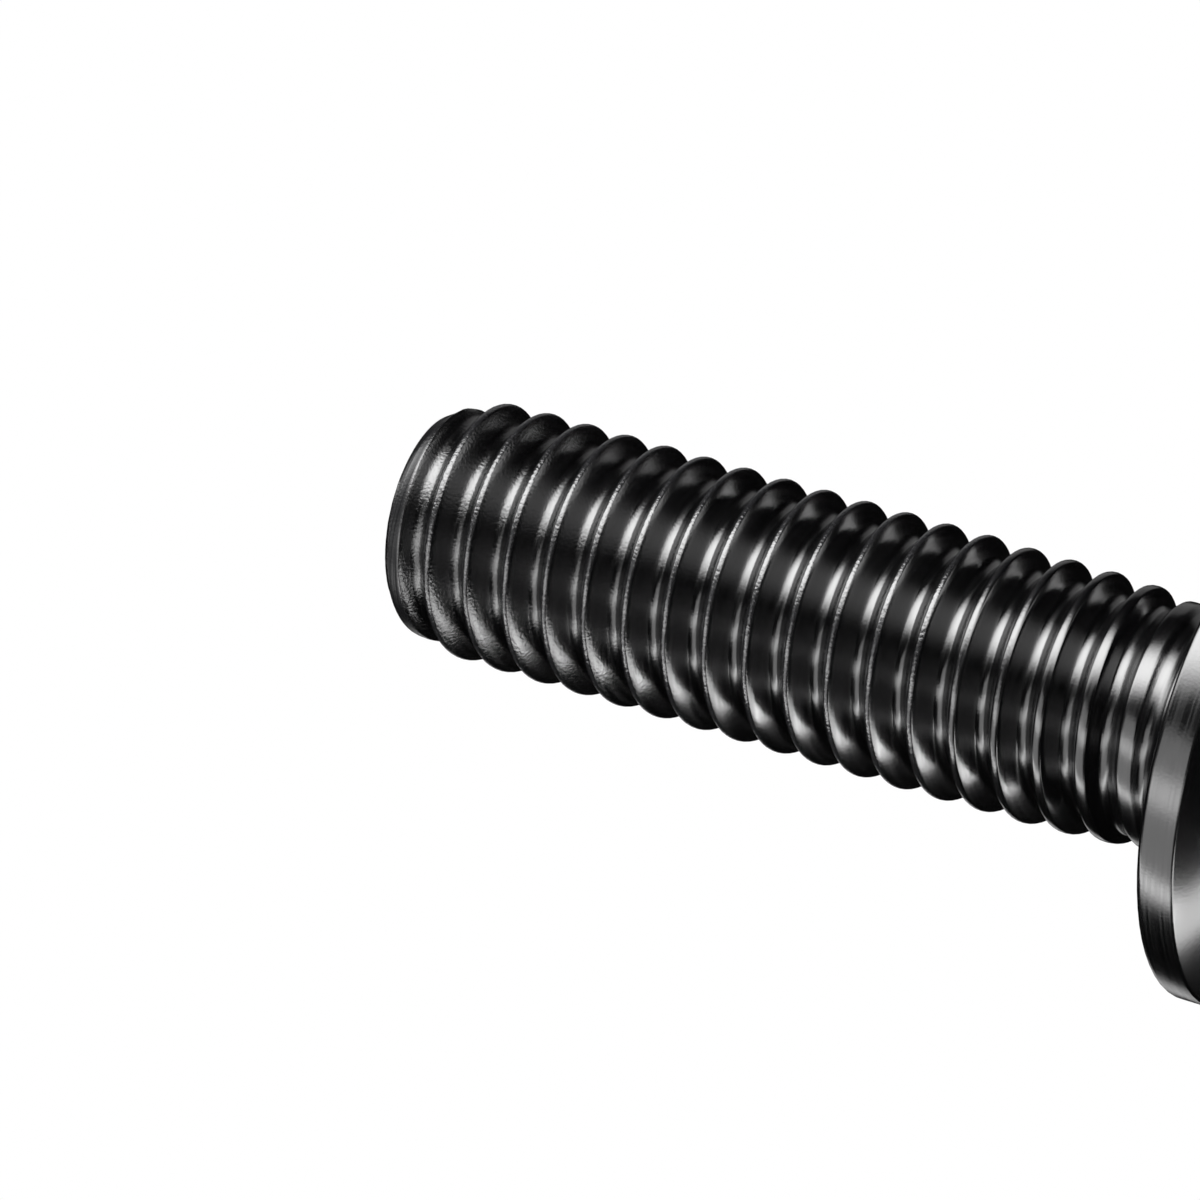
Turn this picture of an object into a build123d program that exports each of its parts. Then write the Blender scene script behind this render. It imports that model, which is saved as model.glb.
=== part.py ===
"""One-piece flange bolt with a right-hand metric thread, standing on its head with the thread up.

The frame is in millimetres, +Z up along the bolt's axis, with the origin at the centre of the head's
flat crown, which the bolt stands on.
"""

import os
from math import ceil, radians, tan

from build123d import *

# Shank
major_diameter = 5.82
shank_length = 20.25
neck_length = 1.8
neck_depth = 0.23
neck_chamfer = 0.25

# Thread: a right-hand helix whose crest passes +X at this share of a turn below the end face
pitch = 1.0
flank_angle = 60.0
crest_turns_on_x = 0.25

# Threaded end, inwards from the end face: a steep chamfer, then crests that grow to their full height
end_chamfer_width = 0.94
point_depth = 0.31
point_length = 0.38
first_crest_depth = 0.2
first_crest_length = 0.92
lead_depth = 0.035
lead_length = 1.23
full_crest_start = 2.2

# Run-out: over its last turns the thread sinks a little, then its crests and groove meet at the neck
taper_length = 3.5
taper_depth = 0.08
crest_fade_length = 1.75
groove_fade_length = 0.85

# Head
flange_diameter = 11.0
rim_thickness = 0.85
rim_chamfer = 0.15
flange_slope_angle = 25.0
across_flats = 8.0
head_height = 6.0
crown_inset = 0.25
crown_angle = 30.0

# The metric thread form, as shares of the pitch and of the sharp 60 degree triangle
crest_flat = pitch / 8
flank_slope = tan(radians(flank_angle / 2))
triangle_height = pitch / 2 / flank_slope
thread_depth = triangle_height * 17 / 24

# The tooth reaches this far into the core that carries it
tooth_overlap = pitch / 10

major_radius = major_diameter / 2
root_radius = major_radius - thread_depth
neck_radius = major_radius - neck_depth
flange_radius = flange_diameter / 2
half_across_flats = across_flats / 2
crown_radius = half_across_flats - crown_inset

# Heights along the axis, from the crown up
bearing_height = head_height
rim_base = bearing_height - rim_thickness
hexagon_top = bearing_height - rim_thickness / 2
neck_end = bearing_height + neck_length
groove_fade_end = neck_end + groove_fade_length
crest_fade_end = neck_end + crest_fade_length
taper_end = crest_fade_end + taper_length
end_height = bearing_height + shank_length

# The thread is one turn repeated downwards: it overruns the end face and the run-out
top_turn_height = end_height - crest_turns_on_x * pitch
turn_count = ceil((top_turn_height - neck_end) / pitch) + 1

# Limits of the cut that trims the shank, clear of the tooth on all sides
cut_clearance = pitch / 4
cut_bottom = top_turn_height - (turn_count + 1) * pitch
cut_top = top_turn_height + 2 * pitch
cut_radius = major_radius + pitch


# One turn of the tooth: a helical ridge that starts and ends on the XZ plane
with BuildPart() as thread_turn:
    tooth_base_radius = root_radius - tooth_overlap
    half_base = crest_flat / 2 + (thread_depth + tooth_overlap) * flank_slope
    with BuildLine() as turn_path:
        Helix(pitch, pitch, root_radius, center=(0, 0, top_turn_height))
    with BuildSketch(Plane.XZ):
        with BuildLine():
            Polyline(
                (tooth_base_radius, top_turn_height - half_base),
                (major_radius, top_turn_height - crest_flat / 2),
                (major_radius, top_turn_height + crest_flat / 2),
                (tooth_base_radius, top_turn_height + half_base),
                close=True,
            )
        make_face()
    sweep(path=turn_path.line, is_frenet=True)

# The hexagon, with the corners of its crown turned off
with BuildPart() as hexagon:
    with BuildSketch():
        RegularPolygon(half_across_flats, side_count=6, major_radius=False)
    extrude(amount=hexagon_top)
    with BuildSketch(Plane.XZ):
        crown_rise = (flange_radius - crown_radius) * tan(radians(crown_angle))
        with BuildLine():
            Polyline(
                (0, 0),
                (crown_radius, 0),
                (flange_radius, crown_rise),
                (flange_radius, bearing_height),
                (0, bearing_height),
                close=True,
            )
        make_face()
    revolve(axis=Axis.Z, mode=Mode.INTERSECT)

# The plain neck, the flange with its thin rim and sloping back, and the hexagon
with BuildPart() as head:
    with BuildSketch(Plane.XZ):
        slope_drop = (flange_radius - neck_radius) * tan(radians(flange_slope_angle))
        with BuildLine():
            Polyline(
                (0, neck_end),
                (neck_radius, neck_end),
                (neck_radius, bearing_height),
                (flange_radius, bearing_height),
                (flange_radius, rim_base),
                (neck_radius, rim_base - slope_drop),
                (0, rim_base - slope_drop),
                close=True,
            )
        make_face()
    revolve(axis=Axis.Z)
    bearing_circles = head.edges().filter_by(GeomType.CIRCLE).filter_by_position(
        Axis.Z, bearing_height, bearing_height
    )
    chamfer(bearing_circles.sort_by(SortBy.RADIUS)[0], neck_chamfer)
    chamfer(bearing_circles.sort_by(SortBy.RADIUS)[-1], rim_chamfer)
    add(hexagon.part)

with BuildPart() as bolt:
    # Core, whose groove floor rises to the neck along the run-out
    with BuildSketch(Plane.XZ):
        with BuildLine():
            Polyline(
                (0, neck_end),
                (neck_radius, neck_end),
                (root_radius, groove_fade_end),
                (root_radius, cut_top),
                (0, cut_top),
                close=True,
            )
        make_face()
    revolve(axis=Axis.Z)
    with Locations(*[(0, 0, -turn * pitch) for turn in range(turn_count)]):
        add(thread_turn.part)

    # All that lies outside the finished outline is cut away: above the end face, round the chamfered
    # point, over the growing and the sinking crests, and below the run-out
    with BuildSketch(Plane.XZ):
        lead_slope = lead_depth / (full_crest_start - lead_length)
        taper_slope = taper_depth / taper_length
        with BuildLine():
            Polyline(
                (0, cut_top),
                (0, end_height),
                (major_radius - end_chamfer_width, end_height),
                (major_radius - point_depth, end_height - point_length),
                (major_radius - first_crest_depth, end_height - first_crest_length),
                (major_radius - lead_depth, end_height - lead_length),
                (
                    major_radius + lead_slope * cut_clearance,
                    end_height - full_crest_start - cut_clearance,
                ),
                (major_radius + taper_slope * cut_clearance, taper_end + cut_clearance),
                (major_radius - taper_depth, crest_fade_end),
                (neck_radius, neck_end),
                (0, neck_end),
                (0, cut_bottom),
                (cut_radius, cut_bottom),
                (cut_radius, cut_top),
                close=True,
            )
        make_face()
    revolve(axis=Axis.Z, mode=Mode.SUBTRACT)
    add(head.part)

bolt.part.label = "bolt"
os.makedirs("parts", exist_ok=True)
export_step(bolt.part, "parts/bolt.step")
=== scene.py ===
"""Flange bolt in glossy black steel, standing on its head with the thread up.

All lengths in the classes are millimetres, heights are measured up from the head's crown, and the
meshes are made in metres.
"""

import logging
import math
from dataclasses import dataclass, field
from enum import Enum
from typing import Callable, Sequence

import bmesh
import bpy
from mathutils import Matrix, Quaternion, Vector


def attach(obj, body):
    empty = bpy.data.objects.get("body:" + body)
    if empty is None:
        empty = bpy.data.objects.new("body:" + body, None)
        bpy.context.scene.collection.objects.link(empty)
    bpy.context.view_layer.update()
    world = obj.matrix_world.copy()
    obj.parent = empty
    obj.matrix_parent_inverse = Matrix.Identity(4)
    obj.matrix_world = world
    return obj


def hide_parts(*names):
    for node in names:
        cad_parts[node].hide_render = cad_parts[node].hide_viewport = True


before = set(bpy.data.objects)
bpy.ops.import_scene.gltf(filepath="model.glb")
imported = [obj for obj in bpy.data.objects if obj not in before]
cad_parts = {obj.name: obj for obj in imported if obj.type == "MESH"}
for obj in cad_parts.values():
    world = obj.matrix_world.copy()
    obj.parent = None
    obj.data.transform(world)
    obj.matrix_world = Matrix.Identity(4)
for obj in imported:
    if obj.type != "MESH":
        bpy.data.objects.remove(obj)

logging.basicConfig(level=logging.INFO, format="%(name)s: %(message)s")
log = logging.getLogger("bolt")

MM = 0.001


def linear(hex_colour: str) -> tuple[float, float, float, float]:
    """Turns an sRGB hex colour into linear RGBA.

    Args:
        hex_colour: Six hex digits with a leading hash.

    Returns:
        The linear colour with an alpha of 1.
    """
    channels = [int(hex_colour[i : i + 2], 16) / 255 for i in (1, 3, 5)]
    return (
        *(c / 12.92 if c <= 0.04045 else ((c + 0.055) / 1.055) ** 2.4 for c in channels),
        1.0,
    )


def add_node(
    tree: bpy.types.NodeTree,
    kind: str,
    settings: dict | None = None,
    sockets: dict | None = None,
) -> bpy.types.Node:
    """Adds one shader node.

    Args:
        tree: The node tree that gets the node.
        kind: The node's type name, without the ShaderNode that all of them start with.
        settings: Properties of the node itself.
        sockets: Input sockets by name or index, each with a value or an output socket to link.

    Returns:
        The new node.
    """
    node = tree.nodes.new("ShaderNode" + kind)
    for name, value in (settings or {}).items():
        setattr(node, name, value)
    for name, value in (sockets or {}).items():
        if isinstance(value, bpy.types.NodeSocket):
            tree.links.new(value, node.inputs[name])
        else:
            node.inputs[name].default_value = value
    return node


def new_material(name: str) -> tuple[bpy.types.Material, bpy.types.NodeTree]:
    """Starts a material with no nodes.

    Args:
        name: The material's name.

    Returns:
        The material and its node tree.
    """
    material = bpy.data.materials.new(name)
    material.use_nodes = True
    material.node_tree.nodes.clear()
    return material, material.node_tree


def new_object(
    bm: bmesh.types.BMesh, name: str, material: bpy.types.Material
) -> bpy.types.Object:
    """Puts a finished mesh in the scene.

    Args:
        bm: The mesh, which is freed.
        name: The object's name.
        material: The object's only material.

    Returns:
        The object.
    """
    mesh = bpy.data.meshes.new(name + "_shape")
    bm.to_mesh(mesh)
    bm.free()
    mesh.materials.append(material)
    thing = bpy.data.objects.new(name, mesh)
    bpy.context.scene.collection.objects.link(thing)
    return thing


# ---------------------------------------------------------------------------------------------
# Finishes
# ---------------------------------------------------------------------------------------------


@dataclass(frozen=True)
class BlackedSteel:
    """Cold-formed steel with a glossy black conversion coat, rolled threads and turned ends.

    The coat is thin and dark, so the eye gets almost nothing but reflections. Rolling leaves fine
    lines that run round the bolt, and the coat is thinner along the thread's crests. The mesh says
    where with two attributes: "ridge" is 1 on a full crest, and "dull" is 1 on a matt face.

    Attributes:
        name: The material's name.
        coat: Colour of the sound coat.
        thin_coat: Colour where the coat has worn thin.
        dull_coat: Colour where the coat is matt.
        ior: Refractive index of the coat.
        bright_roughness: Roughness between the lines.
        line_roughness: Roughness in a line.
        dull_roughness: Roughness where the coat is matt.
        gloss: Specular level of the sound coat.
        line_contrast: How much more gloss a line loses than the metal beside it, where it is matt.
        line_spacing: Distance from line to line. Real lines are finer, and wouldn't show.
        line_length: Length of a line, round the bolt.
        lines_from: Height below which there are no lines.
        lines_to: Height above which the lines are full.
        grain_size: Size of the coat's grain.
        nick_size: Size of a nick in a crest.
        relief_depth: Depth of the relief of lines, grain and nicks.
        grain_share: Share of the relief that the lines and the grain each have.
        worn_grain_share: Share of the relief that the grain has near the threaded end.
        worn_from: Height from which the grain grows deeper.
        worn_to: Height at which it is deepest.
        worn_ridge: Value of "ridge" from which a crest is worn.
    """

    name: str = "blacked_rolled_steel"
    coat: str = "#070708"
    thin_coat: str = "#3a3a3c"
    dull_coat: str = "#1b1b1d"
    ior: float = 1.6
    bright_roughness: float = 0.13
    line_roughness: float = 0.24
    dull_roughness: float = 0.45
    gloss: float = 0.5
    line_contrast: float = 1.8
    line_spacing: float = 0.06
    line_length: float = 4.0
    lines_from: float = 5.1
    lines_to: float = 5.3
    grain_size: float = 0.06
    nick_size: float = 0.08
    relief_depth: float = 0.012
    grain_share: float = 0.12
    worn_grain_share: float = 0.8
    worn_from: float = 17.0
    worn_to: float = 25.0
    worn_ridge: float = 0.93

    def build(self) -> bpy.types.Material:
        """Makes the material.

        Returns:
            The node material.
        """
        material, tree = new_material(self.name)
        place = add_node(tree, "TexCoord").outputs["Object"]

        # Lines of the rolling dies: long round the bolt, and close together along it
        stretched = add_node(
            tree,
            "Mapping",
            sockets={
                "Vector": place,
                "Scale": (
                    1 / (self.line_length * MM),
                    1 / (self.line_length * MM),
                    1 / (self.line_spacing * MM),
                ),
            },
        )
        lines = add_node(
            tree,
            "TexNoise",
            sockets={"Vector": stretched.outputs["Vector"], "Scale": 1.0, "Detail": 2.0},
        )
        # The hexagon is forged and has none: there the lines give way to their own average
        parts = add_node(tree, "SeparateXYZ", sockets={"Vector": place})
        above_hexagon = add_node(
            tree,
            "MapRange",
            sockets={
                "Value": parts.outputs["Z"],
                "From Min": self.lines_from * MM,
                "From Max": self.lines_to * MM,
            },
        )
        rolled = add_node(
            tree,
            "Mix",
            {"data_type": "FLOAT"},
            {"Factor": above_hexagon.outputs["Result"], "A": 0.5, "B": lines.outputs["Fac"]},
        )
        # Grain of the coat
        grain = add_node(
            tree,
            "TexNoise",
            sockets={
                "Vector": place,
                "Scale": 1 / (self.grain_size * MM),
                "Detail": 3.0,
            },
        )
        roughness = add_node(
            tree,
            "MapRange",
            sockets={
                "Value": rolled.outputs["Result"],
                "From Min": 0.3,
                "From Max": 0.7,
                "To Min": self.bright_roughness,
                "To Max": self.line_roughness,
            },
        )
        # The level faces and the turned point are dull
        dull = add_node(tree, "Attribute", {"attribute_name": "dull"})
        dulled = add_node(
            tree,
            "Mix",
            {"data_type": "FLOAT"},
            {
                "Factor": dull.outputs["Fac"],
                "A": roughness.outputs["Result"],
                "B": self.dull_roughness,
            },
        )
        # They lose their gloss too, and the lines on them lose most
        line_loss = add_node(
            tree,
            "MapRange",
            sockets={
                "Value": rolled.outputs["Result"],
                "From Min": 0.35,
                "From Max": 0.65,
                "To Min": 1.0,
                "To Max": self.line_contrast,
            },
        )
        loss = add_node(
            tree,
            "Math",
            {"operation": "MULTIPLY", "use_clamp": True},
            {0: dull.outputs["Fac"], 1: line_loss.outputs["Result"]},
        )
        specular = add_node(
            tree,
            "MapRange",
            sockets={"Value": loss.outputs["Value"], "To Min": self.gloss, "To Max": 0.0},
        )
        # Worn ridges: the coat is thin there, and full of small nicks
        ridge = add_node(tree, "Attribute", {"attribute_name": "ridge"})
        worn = add_node(
            tree,
            "MapRange",
            sockets={
                "Value": ridge.outputs["Fac"],
                "From Min": self.worn_ridge,
                "From Max": 1.0,
            },
        )
        nicks = add_node(
            tree,
            "TexNoise",
            sockets={
                "Vector": place,
                "Scale": 1 / (self.nick_size * MM),
                "Detail": 1.0,
            },
        )
        nicked = add_node(
            tree,
            "Math",
            {"operation": "MULTIPLY"},
            {0: worn.outputs["Result"], 1: nicks.outputs["Fac"]},
        )
        # The first turns have been knocked about, so the grain is deeper there
        grain_share = add_node(
            tree,
            "MapRange",
            sockets={
                "Value": parts.outputs["Z"],
                "From Min": self.worn_from * MM,
                "From Max": self.worn_to * MM,
                "To Min": self.grain_share,
                "To Max": self.worn_grain_share,
            },
        )
        lined = add_node(
            tree,
            "Math",
            {"operation": "MULTIPLY_ADD"},
            {0: rolled.outputs["Result"], 1: self.grain_share, 2: nicked.outputs["Value"]},
        )
        relief = add_node(
            tree,
            "Math",
            {"operation": "MULTIPLY_ADD"},
            {
                0: grain.outputs["Fac"],
                1: grain_share.outputs["Result"],
                2: lined.outputs["Value"],
            },
        )
        bump = add_node(
            tree,
            "Bump",
            sockets={
                "Strength": 1.0,
                "Distance": self.relief_depth * MM,
                "Height": relief.outputs["Value"],
            },
        )
        worn_spots = add_node(
            tree,
            "Math",
            {"operation": "MULTIPLY"},
            {0: worn.outputs["Result"], 1: grain.outputs["Fac"]},
        )
        coat = add_node(
            tree,
            "Mix",
            {"data_type": "RGBA"},
            {
                "Factor": dull.outputs["Fac"],
                "A": linear(self.coat),
                "B": linear(self.dull_coat),
            },
        )
        colour = add_node(
            tree,
            "Mix",
            {"data_type": "RGBA"},
            {
                "Factor": worn_spots.outputs["Value"],
                "A": coat.outputs["Result"],
                "B": linear(self.thin_coat),
            },
        )
        shader = add_node(
            tree,
            "BsdfPrincipled",
            sockets={
                "Base Color": colour.outputs["Result"],
                "Roughness": dulled.outputs["Result"],
                "IOR": self.ior,
                "Specular IOR Level": specular.outputs["Result"],
                "Normal": bump.outputs["Normal"],
            },
        )
        add_node(
            tree,
            "OutputMaterial",
            sockets={"Surface": shader.outputs["BSDF"]},
        )
        return material


@dataclass(frozen=True)
class StudioFloor:
    """Matt white laminate of a shooting table: even and without gloss to the eye.

    It is clear from below, and further out it fades into the backdrop.

    Attributes:
        name: The material's name.
        colour: Colour of the laminate.
        roughness: Roughness of the laminate.
        fade_from: Distance from the bolt at which the fade starts.
        fade_to: Distance at which the floor is gone.
    """

    name: str = "white_laminate_floor"
    colour: str = "#f4f4f4"
    roughness: float = 0.7
    fade_from: float = 30.0
    fade_to: float = 260.0

    def build(self) -> bpy.types.Material:
        """Makes the material.

        Returns:
            The node material.
        """
        material, tree = new_material(self.name)
        matt = add_node(
            tree,
            "BsdfPrincipled",
            sockets={"Base Color": linear(self.colour), "Roughness": self.roughness},
        )
        clear = add_node(tree, "BsdfTransparent")
        side = add_node(tree, "NewGeometry")
        place = add_node(tree, "TexCoord").outputs["Object"]
        distance = add_node(tree, "VectorMath", {"operation": "LENGTH"}, {0: place})
        fade = add_node(
            tree,
            "MapRange",
            {"interpolation_type": "SMOOTHSTEP"},
            {
                "Value": distance.outputs["Value"],
                "From Min": self.fade_from * MM,
                "From Max": self.fade_to * MM,
            },
        )
        unseen = add_node(
            tree,
            "Math",
            {"operation": "MAXIMUM"},
            {0: side.outputs["Backfacing"], 1: fade.outputs["Result"]},
        )
        mix = add_node(
            tree,
            "MixShader",
            sockets={
                0: unseen.outputs["Value"],
                1: matt.outputs["BSDF"],
                2: clear.outputs["BSDF"],
            },
        )
        add_node(tree, "OutputMaterial", sockets={"Surface": mix.outputs["Shader"]})
        return material


@dataclass(frozen=True)
class TentVelvet:
    """Black cotton velvet: a deep pile that gives back about a hundredth of the light."""

    name: str = "black_tent_velvet"
    colour: str = "#1a1a1a"

    def build(self) -> bpy.types.Material:
        """Makes the material.

        Returns:
            The node material.
        """
        material, tree = new_material(self.name)
        pile = add_node(tree, "BsdfDiffuse", sockets={"Color": linear(self.colour)})
        add_node(tree, "OutputMaterial", sockets={"Surface": pile.outputs["BSDF"]})
        return material


# ---------------------------------------------------------------------------------------------
# Bolt
# ---------------------------------------------------------------------------------------------


class Side(Enum):
    """Which side of a cutting plane across the axis is cleared away."""

    ABOVE = "above"
    BELOW = "below"


Vertices = Sequence[bmesh.types.BMVert]
Edges = Sequence[bmesh.types.BMEdge]


def wire(bm: bmesh.types.BMesh, points: Sequence[tuple[float, float]]) -> Vertices:
    """Adds an open chain of edges in the XZ plane.

    Args:
        bm: The mesh that gets the chain.
        points: Radius and height of each corner, in millimetres.

    Returns:
        The chain's vertices in order.
    """
    vertices = [bm.verts.new((radius * MM, 0, height * MM)) for radius, height in points]
    for start, end in zip(vertices, vertices[1:]):
        bm.edges.new((start, end))
    return vertices


def round_corner(
    bm: bmesh.types.BMesh, corners: Vertices, cut_back: float, segments: int
) -> None:
    """Rounds corners of a wire.

    Args:
        bm: The mesh that holds the wire.
        corners: The vertices to round.
        cut_back: How far along its edges a corner is cut back, in millimetres.
        segments: Edges in each arc.
    """
    bmesh.ops.bevel(
        bm,
        geom=list(corners),
        offset=cut_back * MM,
        offset_type="OFFSET",
        segments=segments,
        profile=0.5,
        affect="VERTICES",
        clamp_overlap=False,
        material=-1,
    )


def cut_across(bm: bmesh.types.BMesh, height: float, cleared: Side) -> Edges:
    """Cuts the mesh with a level plane and clears one side.

    Args:
        bm: The mesh to cut.
        height: Height of the plane, in millimetres.
        cleared: The side that is removed.

    Returns:
        The open edges along the cut.
    """
    bmesh.ops.bisect_plane(
        bm,
        geom=[*bm.verts, *bm.edges, *bm.faces],
        dist=1e-9,
        plane_co=(0, 0, height * MM),
        plane_no=(0, 0, 1),
        clear_outer=cleared is Side.ABOVE,
        clear_inner=cleared is Side.BELOW,
    )
    return open_edges(bm, height)


def put_in_order(bm: bmesh.types.BMesh) -> None:
    """Sorts a mesh by place, because spin leaves it in another order each time.

    Args:
        bm: The mesh to sort.
    """
    for index, vertex in enumerate(sorted(bm.verts, key=lambda v: (v.co.z, *v.co.xy))):
        vertex.index = index
    bm.verts.sort()
    for parts in (bm.edges, bm.faces):
        ranked = sorted(parts, key=lambda part: sorted(v.index for v in part.verts))
        for index, part in enumerate(ranked):
            part.index = index
        parts.sort()


def open_edges(bm: bmesh.types.BMesh, height: float) -> Edges:
    """Finds the open edges at one height.

    Args:
        bm: The mesh to search.
        height: The height, in millimetres.

    Returns:
        The boundary edges whose ends lie within a thousandth of a millimetre of it.
    """
    return [
        edge
        for edge in bm.edges
        if edge.is_boundary
        and all(abs(v.co.z - height * MM) < 0.001 * MM for v in edge.verts)
    ]


def draw_ring(
    bm: bmesh.types.BMesh,
    edges: Edges,
    place: Callable[[float, float], tuple[float, float]],
) -> Edges:
    """Extrudes an open ring and puts its copy somewhere else.

    Args:
        bm: The mesh that holds the ring.
        edges: The ring's open edges.
        place: Gives the new radius and height, in millimetres, from a vertex's angle and radius.

    Returns:
        The new ring's edges.
    """
    made = bmesh.ops.extrude_edge_only(bm, edges=list(edges))["geom"]
    for vertex in (v for v in made if isinstance(v, bmesh.types.BMVert)):
        angle = math.atan2(vertex.co.y, vertex.co.x)
        radius, height = place(angle, math.hypot(vertex.co.x, vertex.co.y) / MM)
        vertex.co = (
            radius * math.cos(angle) * MM,
            radius * math.sin(angle) * MM,
            height * MM,
        )
    return [e for e in made if isinstance(e, bmesh.types.BMEdge)]


@dataclass
class Thread:
    """Threaded shank: a right-hand metric thread that runs out into the neck.

    Attributes:
        end_height: Height of the end face.
        neck_end: Height at which the thread starts.
        radius: Radius over the crests.
        pitch: Distance from crest to crest.
        flank_angle: Angle between two flanks, in degrees.
        crest_width: Width of the flat on a full crest.
        crest_rounding: How far the crest's edges are cut back to round them.
        crest_spread: Share of the flanks' width by which the crest of a cut-off tooth is wider.
        root_rounding: How far the groove's corner is cut back to round it.
        turns_on_x: Turns from +X at the end face, downwards, to where the crest passes +X.
        neck_depth: How far the neck lies below the crests.
        steps: Steps in each turn.
        longest_edge: Length past which an edge of the profile is divided.
        edge_break: Width of the softened edge round the end face.
        end_chamfer_width: Width of the chamfer at the end face.
        end_chamfer_rise: How fast the chamfer's radius grows with depth.
        point_length: Length of the turned point.
        point_dullness: How matt the turned point is.
        point_ridge_loss: How much less worn its crest is than a full one.
        end_rings: Radii of the rings in the end face, as shares of its own.
        crest_growth: How much of the tooth is missing, at distances from the end face.
        crest_fade: How much of the tooth is missing, at distances from the neck.
        groove_fade: How far the groove's floor has risen, at distances from the neck.
    """

    end_height: float
    neck_end: float
    radius: float = 2.91
    pitch: float = 1.0
    flank_angle: float = 60.0
    crest_width: float = 0.12
    crest_rounding: float = 0.05
    crest_spread: float = 0.65
    root_rounding: float = 0.44
    turns_on_x: float = 0.25
    neck_depth: float = 0.23
    steps: int = 72
    longest_edge: float = 0.2
    edge_break: float = 0.03
    end_chamfer_width: float = 0.94
    end_chamfer_rise: float = 1.66
    point_length: float = 0.75
    point_dullness: float = 0.5
    point_ridge_loss: float = 0.07
    end_rings: tuple[float, ...] = (0.97, 0.6, 0.25)
    crest_growth: tuple[tuple[float, float], ...] = (
        (0.0, 0.4),
        (0.4, 0.27),
        (0.92, 0.2),
        (1.23, 0.035),
        (1.77, 0.012),
        (2.3, 0.0),
    )
    crest_fade: tuple[tuple[float, float], ...] = (
        (0.0, 0.23),
        (1.0, 0.22),
        (1.45, 0.157),
        (1.95, 0.096),
        (2.55, 0.085),
        (2.9, 0.05),
        (3.5, 0.044),
        (5.0, 0.032),
        (6.0, 0.0),
    )
    groove_fade: tuple[tuple[float, float], ...] = (
        (0.0, 0.32),
        (0.12, 0.26),
        (0.3, 0.2),
        (0.75, 0.18),
        (1.65, 0.0),
    )

    @staticmethod
    def read(table: Sequence[tuple[float, float]], distance: float) -> float:
        """Reads a table of distances along the axis, straight between its rows.

        Args:
            table: Pairs of distance and value.
            distance: Distance from the table's start, in millimetres.

        Returns:
            The value, in millimetres.
        """
        if distance <= table[0][0]:
            return table[0][1]
        for (start, first), (end, second) in zip(table, table[1:]):
            if distance <= end:
                return first + (second - first) * (distance - start) / (end - start)
        return table[-1][1]

    def cut_off(self, height: float) -> float:
        """Gives how much of the tooth is missing at a height: it grows, and sinks to the neck."""
        return max(
            self.read(self.crest_growth, self.end_height - height),
            self.read(self.crest_fade, height - self.neck_end),
        )

    def filled(self, height: float) -> float:
        """Gives how far the groove's floor has risen at a height, where the thread runs out."""
        return self.read(self.groove_fade, height - self.neck_end)

    def end_chamfer(self, height: float) -> float:
        """Gives the radius of the chamfer's cone at a height."""
        depth = self.end_height - height
        return self.radius - self.end_chamfer_width + depth * self.end_chamfer_rise

    def side(self, vertex: bmesh.types.BMVert) -> float:
        """Gives the side of its tooth that a vertex of the full thread is on.

        Args:
            vertex: The vertex.

        Returns:
            -1 on the flank towards the head, 1 on the other, and between them on the crest.
        """
        turn = math.atan2(vertex.co.y, vertex.co.x) / math.tau
        off_crest = vertex.co.z / MM - self.end_height
        off_crest -= (turn - self.turns_on_x) * self.pitch
        off_crest = (off_crest / self.pitch + 0.5) % 1 * self.pitch - self.pitch / 2
        return max(-1.0, min(1.0, off_crest / (self.crest_width / 2)))

    def shape(self, vertex: bmesh.types.BMVert, share: float) -> None:
        """Moves a vertex of the full thread to where the growing or fading thread has it.

        The crest of a tooth that is cut off is wider, though not by as much as its flanks allow.

        Args:
            vertex: The vertex.
            share: Its height in the tooth, 0 at the groove's floor and 1 on the crest.
        """
        height = vertex.co.z / MM
        radius = math.hypot(vertex.co.x, vertex.co.y) / MM
        missing = self.cut_off(height) * share
        spread = self.crest_spread * math.tan(math.radians(self.flank_angle / 2))
        shaped = radius - missing + self.filled(height) * (1 - share)
        shaped = min(shaped, self.end_chamfer(height))
        vertex.co.z += self.side(vertex) * missing * spread * MM
        vertex.co.x *= shaped / radius
        vertex.co.y *= shaped / radius

    def draw_profile(self, bm: bmesh.types.BMesh, crest: float) -> tuple[float, float]:
        """Draws one pitch of the thread, from the middle of a crest to the middle of the next.

        Args:
            bm: The mesh that gets the profile.
            crest: Height of the lower crest, in millimetres.

        Returns:
            The radius of the groove's floor and of the crest, in millimetres.
        """
        half_crest = self.crest_width / 2
        half_groove = self.pitch / 2 - half_crest
        base = self.radius - half_groove / math.tan(math.radians(self.flank_angle / 2))
        chain = wire(
            bm,
            [
                (self.radius, crest),
                (self.radius, crest + half_crest),
                (base, crest + self.pitch / 2),
                (self.radius, crest + self.pitch - half_crest),
                (self.radius, crest + self.pitch),
            ],
        )
        round_corner(bm, [chain[2]], self.root_rounding, 12)
        round_corner(bm, [chain[1], chain[3]], self.crest_rounding, 3)
        flanks = [e for e in bm.edges if e.calc_length() > self.longest_edge * MM]
        bmesh.ops.subdivide_edges(bm, edges=flanks, cuts=2)
        radii = [v.co.x / MM for v in bm.verts]
        return min(radii), max(radii)

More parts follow.
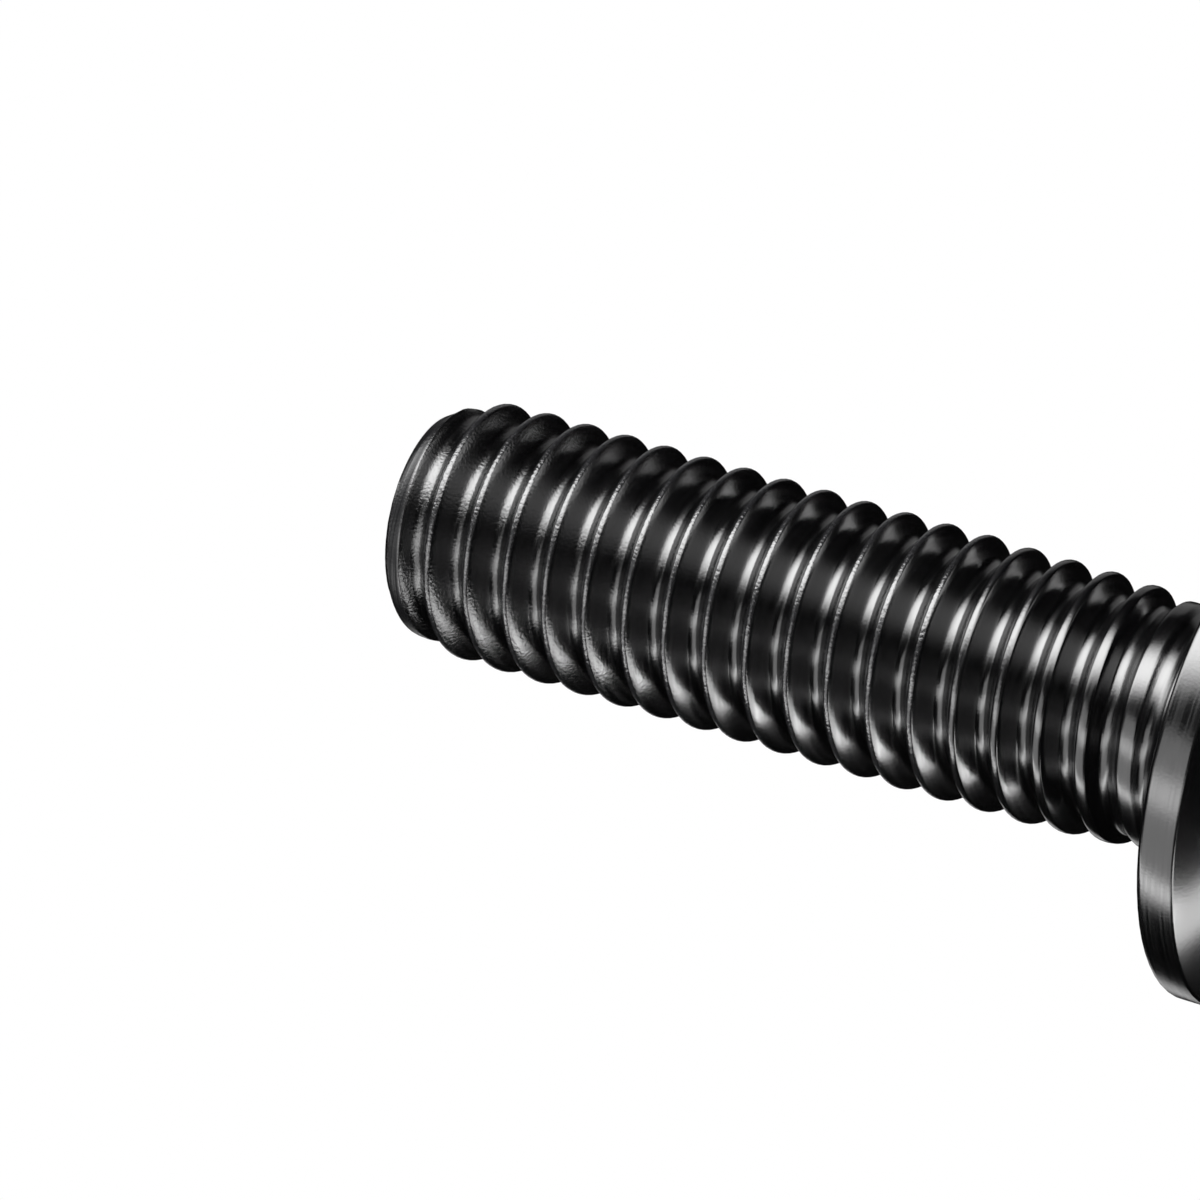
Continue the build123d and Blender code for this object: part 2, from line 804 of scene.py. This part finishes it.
    def wind(self, bm: bmesh.types.BMesh, turns: int) -> None:
        """Winds the profile through one turn and repeats that turn up the shank.

        Args:
            bm: The mesh that holds the profile.
            turns: Turns that are added to the first.
        """
        bmesh.ops.spin(
            bm,
            geom=[*bm.verts, *bm.edges],
            cent=(0, 0, 0),
            axis=(0, 0, 1),
            dvec=(0, 0, self.pitch / self.steps * MM),
            angle=math.tau,
            steps=self.steps,
            use_duplicate=False,
            use_merge=False,
        )
        put_in_order(bm)
        first_turn = [*bm.verts, *bm.edges, *bm.faces]
        for turn in range(1, turns + 1):
            made = bmesh.ops.duplicate(bm, geom=first_turn)["geom"]
            bmesh.ops.translate(
                bm,
                verts=[v for v in made if isinstance(v, bmesh.types.BMVert)],
                vec=(0, 0, turn * self.pitch * MM),
            )
        bmesh.ops.remove_doubles(bm, verts=bm.verts, dist=0.002 * MM)

    def shape_all(self, bm: bmesh.types.BMesh, deepest: float, highest: float) -> None:
        """Shapes the full thread, and marks its worn crests and its dull point.

        Args:
            bm: The mesh that holds the full thread.
            deepest: Radius of the groove's floor, in millimetres.
            highest: Radius of the crest, in millimetres.
        """
        ridge, dull = (bm.verts.layers.float.new(name) for name in ("ridge", "dull"))
        for vertex in bm.verts:
            radius = math.hypot(vertex.co.x, vertex.co.y) / MM
            share = (radius - deepest) / (highest - deepest)
            height, side = vertex.co.z / MM, self.side(vertex)
            self.shape(vertex, share)
            # The point is what turning has reached: its crest, and all that lies on the chamfer
            on_crest = share > 0.98
            below_cone = self.end_chamfer(height) - math.hypot(*vertex.co.xy) / MM
            near_end = self.end_height - height < self.point_length
            on_point = near_end and (on_crest or below_cone < 0.01)
            vertex[dull] = self.point_dullness if on_point else 0.0
            vertex[ridge] = share - self.read(self.crest_fade, height - self.neck_end)
            # Its crest keeps a worn edge on the head's side alone
            if on_point and side > -0.9:
                vertex[ridge] -= self.point_ridge_loss

    def build(self, bm: bmesh.types.BMesh) -> Edges:
        """Makes the thread and cuts it to length.

        Args:
            bm: The mesh that gets the thread.

        Returns:
            The open edges at the threaded end.
        """
        turns = math.ceil(self.end_height - self.neck_end) + 2
        lowest_crest = self.end_height - (self.turns_on_x + turns) * self.pitch
        deepest, highest = self.draw_profile(bm, lowest_crest)
        self.wind(bm, turns)
        self.shape_all(bm, deepest, highest)
        top = cut_across(bm, self.end_height - self.edge_break, Side.ABOVE)
        cut_across(bm, self.neck_end, Side.BELOW)
        return [e for e in top if e.is_valid]

    def close_end(self, bm: bmesh.types.BMesh, ring: Edges) -> None:
        """Closes the threaded end with a softened edge and a flat face.

        Args:
            bm: The mesh that holds the thread.
            ring: The open edges at the threaded end.
        """
        end_radius = self.radius - self.end_chamfer_width
        ring = draw_ring(
            bm, ring, lambda _, radius: (radius - self.edge_break, self.end_height)
        )
        for share in self.end_rings:
            ring = draw_ring(
                bm,
                ring,
                lambda _, radius, share=share: (share * end_radius, self.end_height),
            )
        bmesh.ops.edgeloop_fill(bm, edges=ring)


@dataclass
class Head:
    """Neck, flange with a thin rim and sloping back, and a hexagon with a chamfered crown.

    Attributes:
        bearing_height: Height of the face under the flange.
        neck_end: Height at which the thread starts.
        neck_radius: Radius of the neck.
        flange_radius: Radius of the rim.
        rim_thickness: Thickness of the rim.
        neck_fillet: How far the corner under the head is cut back to round it.
        neck_lead: Height of the band that joins the round neck to the thread.
        rim_bearing_round: The same as neck_fillet, for the rim's edge at the bearing face.
        rim_crown_round: The same, for the rim's other edge.
        slope_angle: Slope of the flange's back, in degrees.
        slope_margin: Width of the slope that is left outside the hexagon's corners.
        across_flats: Width of the hexagon.
        crown_inset: How far the crown's flat lies inside the hexagon's flats.
        crown_angle: Slope of the crown's chamfer, in degrees.
        crown_rings: Radii of the rings in the crown's flat, as shares of its own.
        edge_break: Width of the broken edges of hexagon and crown.
        sharpest_smooth: Angle up to which an upright edge isn't a corner, in degrees.
        steps: Steps round the head.
    """

    bearing_height: float
    neck_end: float
    neck_radius: float
    flange_radius: float = 5.5
    rim_thickness: float = 0.85
    neck_fillet: float = 0.3
    neck_lead: float = 0.15
    rim_bearing_round: float = 0.15
    rim_crown_round: float = 0.06
    slope_angle: float = 25.0
    slope_margin: float = 0.2
    across_flats: float = 8.0
    crown_inset: float = 0.25
    crown_angle: float = 30.0
    crown_rings: tuple[float, ...] = (0.8, 0.45, 0.15)
    edge_break: float = 0.1
    sharpest_smooth: float = 40.0
    steps: int = 72

    @property
    def crown_radius(self) -> float:
        """Radius of the crown's flat."""
        return self.across_flats / 2 - self.crown_inset

    def flat_radius(self, angle: float) -> float:
        """Gives the hexagon's radius at an angle, with a corner at 0."""
        off_flat = angle % (math.pi / 3) - math.pi / 6
        return self.across_flats / 2 / math.cos(off_flat)

    def slope_height(self, radius: float) -> float:
        """Gives the height of the flange's sloping back at a radius."""
        drop = (self.flange_radius - radius) * math.tan(math.radians(self.slope_angle))
        return self.bearing_height - self.rim_thickness - drop

    def crown_height(self, radius: float) -> float:
        """Gives the height of the crown's chamfer at a radius."""
        return (radius - self.crown_radius) * math.tan(math.radians(self.crown_angle))

    def turn_flange(self, bm: bmesh.types.BMesh) -> Edges:
        """Turns the neck and the flange, and joins them to the thread.

        Args:
            bm: The mesh that holds the thread.

        Returns:
            The open edges on the flange's sloping back.
        """
        before = set(bm.verts)
        corner_radius = self.across_flats / 2 / math.cos(math.pi / 6)
        slope_radius = corner_radius + self.slope_margin
        chain = wire(
            bm,
            [
                (self.neck_radius, self.neck_end - self.neck_lead),
                (self.neck_radius, self.bearing_height),
                (self.flange_radius, self.bearing_height),
                (self.flange_radius, self.slope_height(self.flange_radius)),
                (slope_radius, self.slope_height(slope_radius)),
            ],
        )
        fillet, bearing_edge, crown_edge = chain[1:4]
        round_corner(bm, [fillet], self.neck_fillet, 8)
        round_corner(bm, [bearing_edge], self.rim_bearing_round, 5)
        round_corner(bm, [crown_edge], self.rim_crown_round, 4)
        new = [v for v in bm.verts if v not in before]
        bmesh.ops.spin(
            bm,
            geom=[*new, *dict.fromkeys(e for v in new for e in v.link_edges)],
            cent=(0, 0, 0),
            axis=(0, 0, 1),
            angle=math.tau,
            steps=self.steps,
            use_duplicate=False,
            use_merge=True,
        )
        put_in_order(bm)
        thread_ring = open_edges(bm, self.neck_end)
        neck_ring = open_edges(bm, self.neck_end - self.neck_lead)
        bmesh.ops.bridge_loops(bm, edges=[*thread_ring, *neck_ring])
        return open_edges(bm, self.slope_height(slope_radius))

    def draw_hexagon(self, bm: bmesh.types.BMesh, ring: Edges) -> Edges:
        """Draws the hexagon and its crown out of the flange's back.

        Args:
            bm: The mesh that holds the flange.
            ring: The open edges on the flange's sloping back.

        Returns:
            The edges of the three rings that are sharp: foot, chamfer and flat of the crown.
        """
        foot = draw_ring(
            bm,
            ring,
            lambda angle, _: (
                self.flat_radius(angle),
                self.slope_height(self.flat_radius(angle)),
            ),
        )
        chamfer = draw_ring(bm, foot, lambda _, radius: (radius, self.crown_height(radius)))
        flat = draw_ring(bm, chamfer, lambda *_: (self.crown_radius, 0.0))
        ring = flat
        for share in self.crown_rings:
            ring = draw_ring(
                bm, ring, lambda *_, share=share: (share * self.crown_radius, 0.0)
            )
        bmesh.ops.edgeloop_fill(bm, edges=ring)
        return [*foot, *chamfer, *flat]

    def build(self, bm: bmesh.types.BMesh) -> None:
        """Builds the head onto the thread.

        Args:
            bm: The mesh that holds the thread, open at the neck.
        """
        slope_ring = self.turn_flange(bm)
        sharp = self.draw_hexagon(bm, slope_ring)
        # No edge but the hexagon's own corners is as tall as half the head
        corners = [
            e
            for e in bm.edges
            if e.is_manifold
            and abs(e.verts[0].co.z - e.verts[1].co.z) > self.bearing_height / 2 * MM
            and e.calc_face_angle(0.0) > math.radians(self.sharpest_smooth)
        ]
        bmesh.ops.bevel(
            bm,
            geom=list(dict.fromkeys([*sharp, *corners])),
            offset=self.edge_break * MM,
            offset_type="OFFSET",
            segments=3,
            profile=0.5,
            affect="EDGES",
            clamp_overlap=True,
            material=-1,
        )


@dataclass
class Bolt:
    """The whole bolt, one closed piece.

    Attributes:
        head_height: Height of the head, from the crown to the face under the flange.
        shank_length: Length under the head.
        neck_length: Length of the plain neck.
        hexagon_dullness: How matt the hexagon's flats are.
        sharp_angle: Angle from which an edge is shaded as a sharp one, in degrees.
        finish: The finish of the whole bolt.
    """

    head_height: float = 6.0
    shank_length: float = 20.25
    neck_length: float = 1.0
    hexagon_dullness: float = 0.35
    sharp_angle: float = 38.0
    finish: BlackedSteel = field(default_factory=BlackedSteel)

    def mark_dull(self, bm: bmesh.types.BMesh) -> None:
        """Marks the level faces and the crown's chamfer as matt, and the hexagon as half matt.

        Args:
            bm: The finished mesh.
        """
        dull = bm.verts.layers.float["dull"]
        for face in bm.faces:
            height = face.calc_center_median().z / MM
            on_crown = face.normal.z < -0.5 and height < 1
            level = abs(face.normal.z) > 0.999 or on_crown
            on_hexagon = abs(face.normal.z) < 0.5 and height < self.head_height - 1
            for vertex in face.verts if level or on_hexagon else ():
                vertex[dull] = max(vertex[dull], 1.0 if level else self.hexagon_dullness)

    def build(self) -> bpy.types.Object:
        """Builds the bolt in place of the plain solid.

        Returns:
            The new piece.
        """
        neck_end = self.head_height + self.neck_length
        thread = Thread(self.head_height + self.shank_length, neck_end)
        head = Head(self.head_height, neck_end, thread.radius - thread.neck_depth)
        bm = bmesh.new()
        end_ring = thread.build(bm)
        thread.close_end(bm, end_ring)
        head.build(bm)
        put_in_order(bm)
        bmesh.ops.recalc_face_normals(bm, faces=bm.faces)
        self.mark_dull(bm)
        for face in bm.faces:
            face.smooth = True
        if loose := sum(not e.is_manifold for e in bm.edges):
            log.warning("the bolt has %d open edges", loose)
        piece = new_object(bm, "bolt_piece", self.finish.build())
        piece.data.set_sharp_from_angle(angle=math.radians(self.sharp_angle))
        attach(piece, "root")
        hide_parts("bolt")
        return piece


# ---------------------------------------------------------------------------------------------
# Studio
# ---------------------------------------------------------------------------------------------


@dataclass(frozen=True)
class LampCloth:
    """White diffusion cloth of a softbox, lit from behind.

    It glows most in the middle and fades to its rim.

    Attributes:
        name: The material's name.
        radiance: Strength in the middle.
        half_width: Half of the cloth's width, in metres.
        half_height: Half of its height, in metres.
        core: Shares of both over which the cloth is at full strength.
    """

    name: str
    radiance: float
    half_width: float
    half_height: float
    core: tuple[float, float]

    def build(self) -> bpy.types.Material:
        """Makes the material.

        Returns:
            The node material.
        """
        material, tree = new_material(self.name)
        place = add_node(tree, "TexCoord").outputs["Object"]
        parts = add_node(tree, "SeparateXYZ", sockets={"Vector": place})
        strength: bpy.types.NodeSocket | float = self.radiance
        for axis, half, core in zip("XY", (self.half_width, self.half_height), self.core):
            offset = add_node(
                tree, "Math", {"operation": "ABSOLUTE"}, {0: parts.outputs[axis]}
            )
            fade = add_node(
                tree,
                "MapRange",
                {"interpolation_type": "SMOOTHSTEP"},
                {
                    "Value": offset.outputs["Value"],
                    "From Min": core * half,
                    "From Max": half,
                    "To Min": 1.0,
                    "To Max": 0.0,
                },
            )
            strength = add_node(
                tree,
                "Math",
                {"operation": "MULTIPLY"},
                {0: strength, 1: fade.outputs["Result"]},
            ).outputs["Value"]
        glow = add_node(tree, "Emission", sockets={"Strength": strength})
        clear = add_node(tree, "BsdfTransparent")
        both = add_node(
            tree,
            "AddShader",
            sockets={0: glow.outputs["Emission"], 1: clear.outputs["BSDF"]},
        )
        add_node(tree, "OutputMaterial", sockets={"Surface": both.outputs["Shader"]})
        return material


@dataclass(frozen=True)
class Place:
    """Where a lamp or a card hangs round the bolt.

    Attributes:
        azimuth: Direction from the bolt, in degrees from -Y towards +X.
        elevation: Direction above the floor, in degrees.
        width: Angle that it takes up along the horizon, in degrees.
        height: Angle that it takes up across the horizon, in degrees.
        turn: Turn about the line to the bolt, in degrees.
        distance: Distance from the aim point, in millimetres.
    """

    azimuth: float
    elevation: float
    width: float
    height: float
    turn: float = 0.0
    distance: float = 300.0

    @property
    def size(self) -> tuple[float, float]:
        """Width and height, in metres."""
        return tuple(
            2 * self.distance * math.tan(math.radians(angle / 2)) * MM
            for angle in (self.width, self.height)
        )

    def hang(self, thing: bpy.types.Object, aim: Vector) -> None:
        """Hangs an object there, facing the bolt.

        Args:
            thing: The object to hang.
            aim: The point that it faces, in metres.
        """
        azimuth, elevation = math.radians(self.azimuth), math.radians(self.elevation)
        towards = Vector(
            (
                math.sin(azimuth) * math.cos(elevation),
                -math.cos(azimuth) * math.cos(elevation),
                math.sin(elevation),
            )
        )
        thing.location = aim + towards * self.distance * MM
        thing.rotation_mode = "QUATERNION"
        turn = Quaternion((0, 0, 1), math.radians(self.turn))
        thing.rotation_quaternion = towards.to_track_quat("Z", "Y") @ turn


@dataclass(frozen=True)
class Softbox:
    """A lamp that lights matt surfaces and doesn't show in glossy ones.

    Attributes:
        name: The lamp's name.
        place: Where it hangs.
        radiance: How bright its face is.
    """

    name: str
    place: Place
    radiance: float

    def build(self, aim: Vector) -> bpy.types.Object:
        """Hangs the lamp.

        Args:
            aim: The point that it faces, in metres.

        Returns:
            The lamp's object.
        """
        lamp = bpy.data.lights.new(self.name, "AREA")
        lamp.shape = "RECTANGLE"
        lamp.size, lamp.size_y = self.place.size
        lamp.energy = 4 * lamp.size * lamp.size_y * self.radiance
        holder = bpy.data.objects.new(self.name, lamp)
        bpy.context.scene.collection.objects.link(holder)
        self.place.hang(holder, aim)
        holder.visible_camera = holder.visible_glossy = False
        return holder


@dataclass(frozen=True)
class Card:
    """A glowing cloth that shows in glossy surfaces and lights nothing else.

    Attributes:
        name: The cloth's name.
        place: Where it hangs.
        radiance: How bright its middle is.
        core: Shares of its width and height over which it is at its brightest.
    """

    name: str
    place: Place
    radiance: float
    core: tuple[float, float]

    def build(self, aim: Vector) -> bpy.types.Object:
        """Hangs the cloth.

        Args:
            aim: The point that it faces, in metres.

        Returns:
            The cloth's object.
        """
        width, height = self.place.size
        bm = bmesh.new()
        bmesh.ops.create_grid(bm, x_segments=1, y_segments=1, size=0.5)
        bmesh.ops.scale(bm, verts=bm.verts, vec=(width, height, 1))
        cloth = LampCloth(
            self.name + "_cloth", self.radiance, width / 2, height / 2, self.core
        )
        card = new_object(bm, self.name, cloth.build())
        self.place.hang(card, aim)
        card.visible_camera = card.visible_diffuse = card.visible_shadow = False
        card.visible_transmission = card.visible_volume_scatter = False
        return card


@dataclass
class Studio:
    """Floor, tent, backdrop, lamps and camera.

    Attributes:
        aim_height: Height that the lamps and the cards face.
        floor_width: Width of the floor.
        tent_radius: Radius of the black tent.
        fill: Strength of the even light from all round.
        softboxes: The lamps that light matt surfaces.
        cards: The cloths that glossy surfaces show, some of them below the floor's height, because
            the camera looks up.
        lens: The camera's focal length.
        camera_distance: Its distance from its aim.
        camera_elevation: Its direction above the horizon, in degrees.
        camera_roll: Its turn about its own view, in degrees.
        camera_aim: The point that it looks at.
    """

    aim_height: float = 15.0
    floor_width: float = 600.0
    tent_radius: float = 2000.0
    fill: float = 0.45
    softboxes: tuple[Softbox, ...] = (Softbox("key_light", Place(48, 45, 40, 40), 4.0),)
    cards: tuple[Card, ...] = (
        Card("key_card", Place(44, 10, 62, 136), 15.5, (0.15, 0.03)),
        Card("panel_card", Place(-44, 15, 84, 70), 2.3, (0.8, 0.4)),
        Card("inner_bar", Place(-30, 5, 22, 120), 4.5, (0.2, 0.2)),
        Card("outer_bar", Place(-75, 10, 15, 100), 6.0, (0.3, 0.3)),
        Card("wedge_card", Place(-102, -52, 42, 15), 7.5, (0.97, 0.9)),
        Card("under_card", Place(82, -54, 50, 24), 3.5, (0.4, 0.4)),
        Card("back_card", Place(136, 20, 46, 60), 0.35, (0.5, 0.6)),
        Card("patch_card", Place(141, -34, 8, 12), 1.8, (0.95, 0.9)),
        Card("far_card", Place(-151, 22, 26, 26), 1.0, (0.3, 0.4)),
        Card("slope_card", Place(-143, -47, 30, 15), 7.0, (0.6, 0.6)),
    )
    lens: float = 221.1
    camera_distance: float = 163.05
    camera_elevation: float = -25.58
    camera_roll: float = 73.92
    camera_aim: tuple[float, float, float] = (-0.783, 0.0, 21.65)

    def build_floor(self) -> bpy.types.Object:
        """Lays the floor at the height that the bolt stands on.

        Returns:
            The floor.
        """
        bm = bmesh.new()
        bmesh.ops.create_grid(
            bm, x_segments=1, y_segments=1, size=self.floor_width / 2 * MM
        )
        floor = new_object(bm, "floor", StudioFloor().build())
        floor.visible_glossy = floor.visible_shadow = False
        return floor

    def build_tent(self) -> bpy.types.Object:
        """Closes the bolt into a black tent that only its reflections show.

        Returns:
            The tent.
        """
        bm = bmesh.new()
        bmesh.ops.create_icosphere(bm, subdivisions=3, radius=self.tent_radius * MM)
        tent = new_object(bm, "tent", TentVelvet().build())
        tent.visible_camera = tent.visible_diffuse = tent.visible_shadow = False
        tent.visible_transmission = tent.visible_volume_scatter = False
        return tent

    def build_world(self) -> bpy.types.World:
        """Sets a white backdrop and an even fill.

        The camera, reflections and glass get the white, and matt surfaces get the fill.

        Returns:
            The world.
        """
        world = bpy.data.worlds.new("studio")
        world.use_nodes = True
        tree = world.node_tree
        tree.nodes.clear()
        path = add_node(tree, "LightPath")
        seen = add_node(
            tree,
            "Math",
            {"operation": "MAXIMUM"},
            {0: path.outputs["Is Camera Ray"], 1: path.outputs["Is Glossy Ray"]},
        )
        seen = add_node(
            tree,
            "Math",
            {"operation": "MAXIMUM"},
            {0: seen.outputs["Value"], 1: path.outputs["Is Transmission Ray"]},
        )
        strength = add_node(
            tree,
            "MapRange",
            sockets={"Value": seen.outputs["Value"], "To Min": self.fill, "To Max": 1.0},
        )
        light = add_node(
            tree,
            "Background",
            sockets={"Color": (1, 1, 1, 1), "Strength": strength.outputs["Result"]},
        )
        add_node(
            tree,
            "OutputWorld",
            sockets={"Surface": light.outputs["Background"]},
        )
        bpy.context.scene.world = world
        return world

    def build_camera(self) -> bpy.types.Object:
        """Sets the camera, which looks up from below the floor's edge and is rolled onto its side.

        Returns:
            The camera's object.
        """
        data = bpy.data.cameras.new("camera")
        data.lens, data.sensor_width = self.lens, 36.0
        data.clip_start, data.clip_end = 0.001, 10.0
        camera = bpy.data.objects.new("camera", data)
        bpy.context.scene.collection.objects.link(camera)
        elevation = math.radians(self.camera_elevation)
        back = Vector((0, -math.cos(elevation), math.sin(elevation)))
        aim = Vector(self.camera_aim) * MM
        camera.location = aim + back * self.camera_distance * MM
        roll = Quaternion((0, 0, 1), -math.radians(self.camera_roll))
        camera.rotation_mode = "QUATERNION"
        camera.rotation_quaternion = (-back).to_track_quat("-Z", "Y") @ roll
        bpy.context.scene.camera = camera
        return camera

    def build(self) -> list[bpy.types.Object]:
        """Builds everything round the bolt.

        Returns:
            The floor, the tent, the camera and the lamps.
        """
        things = [self.build_floor(), self.build_tent()]
        self.build_world()
        things.append(self.build_camera())
        aim = Vector((0, 0, self.aim_height * MM))
        return things + [lamp.build(aim) for lamp in (*self.softboxes, *self.cards)]


def main() -> None:
    """Builds the bolt and its studio."""
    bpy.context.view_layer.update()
    bpy.context.scene.view_settings.view_transform = "Standard"
    piece = Bolt().build()
    faces, height = len(piece.data.polygons), piece.dimensions.z / MM
    log.info("%s: %d faces, %.2f mm tall", piece.name, faces, height)
    for thing in Studio().build():
        log.info("%s", thing.name)


if __name__ == "__main__":
    main()
